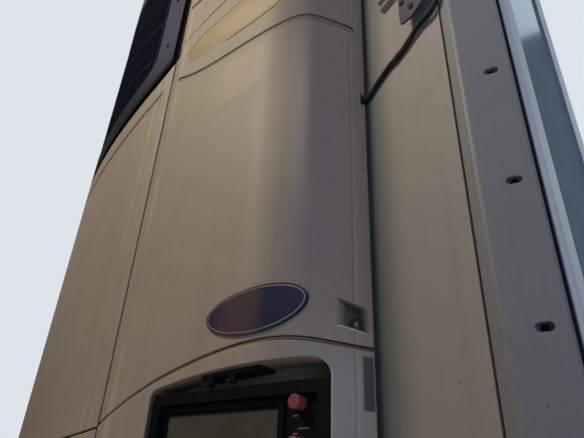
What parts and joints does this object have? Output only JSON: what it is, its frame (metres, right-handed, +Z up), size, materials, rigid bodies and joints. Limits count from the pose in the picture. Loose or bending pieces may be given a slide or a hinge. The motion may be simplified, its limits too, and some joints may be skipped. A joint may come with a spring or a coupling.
{
  "type": "refrigerated semi-trailer front wall with cooling unit",
  "caption": "Insulated front wall of a refrigerated semi-trailer with its bolted-on cooling unit: curved housing, black grille, sunk control panel and hinged side doors.",
  "frame": {"origin": "middle of the wall's rear joining face, at the height of the load floor", "axes": "+X to the trailer's left, +Y towards the load space, +Z up"},
  "size_m": [2.6, 0.74, 2.92],
  "materials": {
    "housing": "aged off-white gel coat, dusty and streaked",
    "wall_skin": "aged off-white reinforced plastic sheet",
    "corner_cap": "dusty grey moulding",
    "extrusion": "anodised, dull, with a glossy flange",
    "frame_steel": "dark grey paint, worn",
    "grille_black": "black, dusty",
    "trim_grey": "dark grey, satin",
    "control_black": "black, satin",
    "display_window": "grey-green window, dusty",
    "button_red": "red, worn",
    "badge": "dark blue plate with a pale rim, blank",
    "fan_black": "black",
    "motor": "black paint",
    "coil": "finned, dull",
    "engine_iron": "grey enamel, oily",
    "battery_case": "black",
    "evaporator_white": "white enamel",
    "cable_rubber": "black jacket, dusty",
    "bracket_grey": "grey, dusty"
  },
  "bodies": {
    "front_wall": {"wall_panel": "wall_skin", "bottom_rail": "extrusion", "top_rail": "extrusion", "corner_cap_left": "corner_cap", "corner_cap_right": "corner_cap", "corner_post_left": "extrusion", "corner_post_right": "extrusion", "frame_uprights": "frame_steel", "cross_tubes": "frame_steel", "inner_frame": "frame_steel", "panel_bars": "frame_steel", "top_bar": "frame_steel", "base_pan": "housing", "lower_corner_left": "housing", "lower_corner_right": "housing", "top_corner_left": "housing", "top_corner_right": "housing", "top_cover": "housing", "front_panel": "housing", "lower_front": "housing", "grille_trim": "trim_grey", "grille": "grille_black", "control_panel": "control_black", "display": "display_window", "buttons": "button_red", "latch_keeper": "control_black", "condenser_motors": "motor", "fan_shroud": "frame_steel", "condenser_coil": "coil", "engine": "engine_iron", "compressor": "engine_iron", "battery": "battery_case", "evaporator_housing": "evaporator_white", "evaporator_cover": "evaporator_white", "evaporator_coil": "coil", "evaporator_motors": "motor", "cable": "cable_rubber", "cable_bracket": "bracket_grey"},
    "door_left": {"door_left": "housing", "badge_plate": "badge"},
    "door_right": {"door_right": "housing"},
    "condenser_fan_left": {"condenser_fan_left": "fan_black"},
    "condenser_fan_right": {"condenser_fan_right": "fan_black"},
    "evaporator_fan_left": {"evaporator_fan_left": "fan_black"},
    "evaporator_fan_right": {"evaporator_fan_right": "fan_black"}
  },
  "joints": [
    {"name": "door_left_hinge", "type": "hinge", "parent": "front_wall", "child": "door_left", "pos_m": [0.49281, -0.44372, 1.41], "axis": [0, 0, -1], "range_deg": [0, 100]},
    {"name": "door_right_hinge", "type": "hinge", "parent": "front_wall", "child": "door_right", "pos_m": [-0.49281, -0.44372, 1.41], "axis": [0, 0, 1], "range_deg": [0, 100]},
    {"name": "condenser_fan_left_spin", "type": "hinge", "parent": "front_wall", "child": "condenser_fan_left", "pos_m": [0.258, -0.29, 2.2], "axis": [0, 1, 0], "continuous": true},
    {"name": "condenser_fan_right_spin", "type": "hinge", "parent": "front_wall", "child": "condenser_fan_right", "pos_m": [-0.258, -0.29, 2.2], "axis": [0, 1, 0], "continuous": true},
    {"name": "evaporator_fan_left_spin", "type": "hinge", "parent": "front_wall", "child": "evaporator_fan_left", "pos_m": [0.33, 0.142, 2.09], "axis": [0, 1, 0], "continuous": true},
    {"name": "evaporator_fan_right_spin", "type": "hinge", "parent": "front_wall", "child": "evaporator_fan_right", "pos_m": [-0.33, 0.142, 2.09], "axis": [0, 1, 0], "continuous": true}
  ]
}
